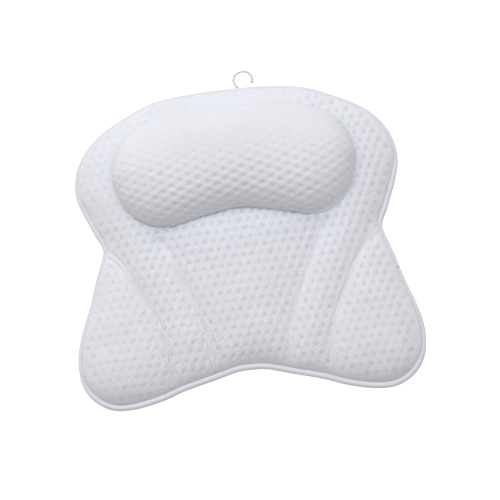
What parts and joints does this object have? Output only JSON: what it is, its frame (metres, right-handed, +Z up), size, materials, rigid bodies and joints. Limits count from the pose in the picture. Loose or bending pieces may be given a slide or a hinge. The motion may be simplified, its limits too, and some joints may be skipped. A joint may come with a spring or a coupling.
{
  "type": "bath pillow",
  "caption": "Quilted air-mesh bath pillow with a bean-shaped headrest roll, piped edge, suction cups on straps and a small hanging hook.",
  "frame": {"origin": "middle of the underside of the whole object's box, lying face up on its suction cups", "axes": "+Z up out of the pad's face, +Y towards the head edge and the hook, +X to the right"},
  "size_m": [0.3806, 0.38, 0.1009],
  "materials": {
    "air_mesh": "matt open-pit air mesh",
    "back_fabric": "matt air mesh",
    "piping_fabric": "matt knitted cover",
    "stuffing": "fibre",
    "webbing": "woven webbing",
    "clear_vinyl": "clear soft vinyl",
    "steel": "polished wire"
  },
  "bodies": {
    "pad": {"front_panel": "air_mesh", "back_panel": "back_fabric", "roll_cover": "air_mesh", "edge_piping": "piping_fabric", "piping_cord": "stuffing", "roll_filling": "stuffing", "hanging_loop": "webbing", "filling_head": "stuffing", "filling_centre": "stuffing", "filling_channel_left": "stuffing", "filling_channel_right": "stuffing", "filling_lobe_left": "stuffing", "filling_lobe_right": "stuffing", "cup_strap_head_left": "webbing", "cup_strap_head_right": "webbing", "cup_strap_waist_left": "webbing", "cup_strap_waist_right": "webbing", "cup_strap_foot_left": "webbing", "cup_strap_foot_right": "webbing"},
    "hook": {"s_hook": "steel"},
    "cup_head_left": {"suction_cup_head_left": "clear_vinyl"},
    "cup_head_right": {"suction_cup_head_right": "clear_vinyl"},
    "cup_waist_left": {"suction_cup_waist_left": "clear_vinyl"},
    "cup_waist_right": {"suction_cup_waist_right": "clear_vinyl"},
    "cup_foot_left": {"suction_cup_foot_left": "clear_vinyl"},
    "cup_foot_right": {"suction_cup_foot_right": "clear_vinyl"}
  },
  "joints": [
    {"name": "hook_swing", "type": "hinge", "parent": "pad", "child": "hook", "pos_m": [0.0126, 0.14587, 0.0065], "axis": [1, 0, 0], "range_deg": [-165, 45]},
    {"name": "cup_head_left_turn", "type": "hinge", "parent": "pad", "child": "cup_head_left", "pos_m": [-0.092, 0.09688, 0.0129], "axis": [0, 0, 1], "continuous": true},
    {"name": "cup_head_right_turn", "type": "hinge", "parent": "pad", "child": "cup_head_right", "pos_m": [0.092, 0.09688, 0.0129], "axis": [0, 0, 1], "continuous": true},
    {"name": "cup_waist_left_turn", "type": "hinge", "parent": "pad", "child": "cup_waist_left", "pos_m": [-0.10028, -0.0248, 0.0129], "axis": [0, 0, 1], "continuous": true},
    {"name": "cup_waist_right_turn", "type": "hinge", "parent": "pad", "child": "cup_waist_right", "pos_m": [0.10028, -0.0248, 0.0129], "axis": [0, 0, 1], "continuous": true},
    {"name": "cup_foot_left_turn", "type": "hinge", "parent": "pad", "child": "cup_foot_left", "pos_m": [-0.13064, -0.1262, 0.0129], "axis": [0, 0, 1], "continuous": true},
    {"name": "cup_foot_right_turn", "type": "hinge", "parent": "pad", "child": "cup_foot_right", "pos_m": [0.13064, -0.1262, 0.0129], "axis": [0, 0, 1], "continuous": true}
  ]
}
